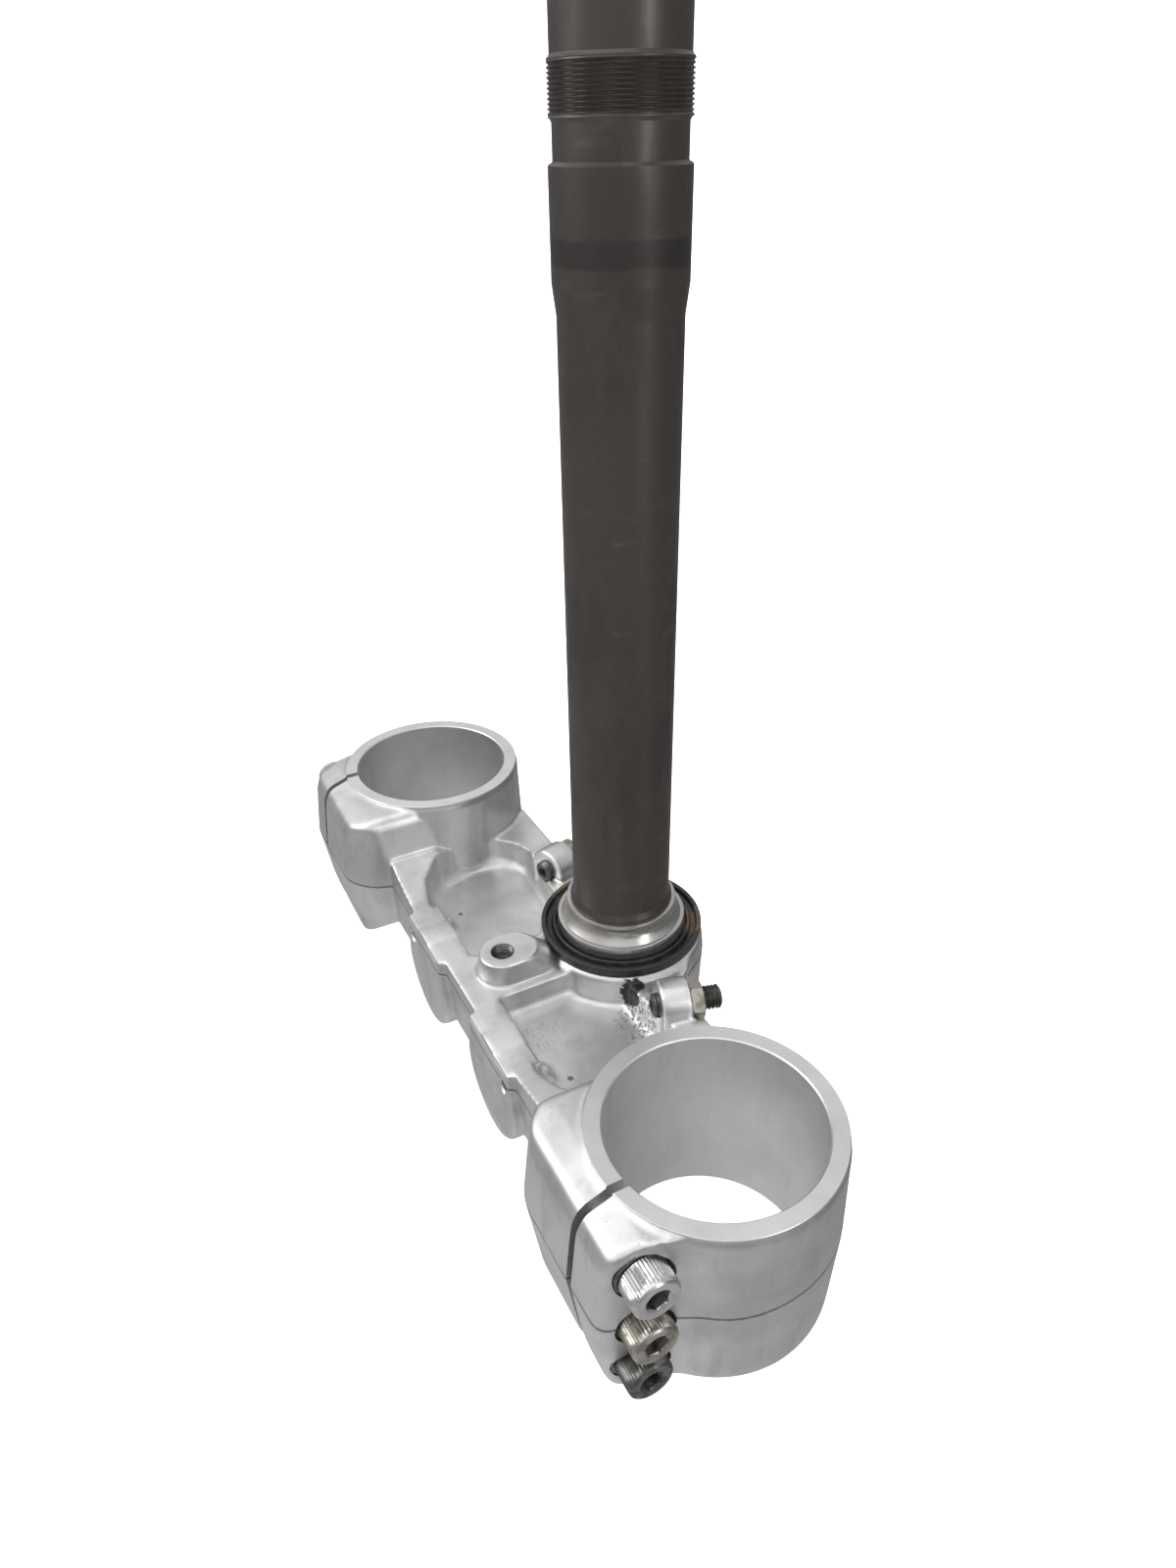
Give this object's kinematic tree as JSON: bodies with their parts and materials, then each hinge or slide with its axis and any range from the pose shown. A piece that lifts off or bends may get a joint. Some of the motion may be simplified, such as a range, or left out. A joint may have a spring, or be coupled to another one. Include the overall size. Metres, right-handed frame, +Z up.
{
  "type": "motorcycle lower triple clamp with steering stem",
  "caption": "Forged alloy fork clamp with split fork collars, pinch screws and a hollow steel steering stem with bearing race, dust seal and steering stops.",
  "frame": {"origin": "on the stem axis in the plane of the clamp's underside, at the mouth of the stem's bore", "axes": "+Z up the stem, -Y towards the front of the motorcycle, +X towards the rider's left"},
  "size_m": [0.28, 0.1056, 0.3228],
  "materials": {
    "forged_alloy": "satin, machined at the rings and bores",
    "stem_steel": "dark oxidised, satin",
    "race_steel": "ground, lightly stained",
    "seal_rubber": "matte, dusty",
    "bright_zinc": "bright zinc",
    "yellowed_zinc": "worn zinc",
    "washer_steel": "worn zinc",
    "dark_steel": "dull, zinc worn off"
  },
  "bodies": {
    "root": {"lower_clamp": "forged_alloy", "steering_stem": "stem_steel", "bearing_race": "race_steel", "dust_seal": "seal_rubber", "pinch_screw_left_top": "bright_zinc", "pinch_screw_left_middle": "yellowed_zinc", "pinch_screw_left_bottom": "dark_steel", "pinch_screw_right_top": "bright_zinc", "pinch_screw_right_middle": "yellowed_zinc", "pinch_screw_right_bottom": "dark_steel", "pinch_washer_left_top": "washer_steel", "pinch_washer_left_middle": "washer_steel", "pinch_washer_left_bottom": "washer_steel", "pinch_washer_right_top": "washer_steel", "pinch_washer_right_middle": "washer_steel", "pinch_washer_right_bottom": "washer_steel", "stop_screw_left": "dark_steel", "stop_screw_right": "dark_steel", "stop_nut_left": "yellowed_zinc", "stop_nut_right": "yellowed_zinc"}
  },
  "joints": []
}
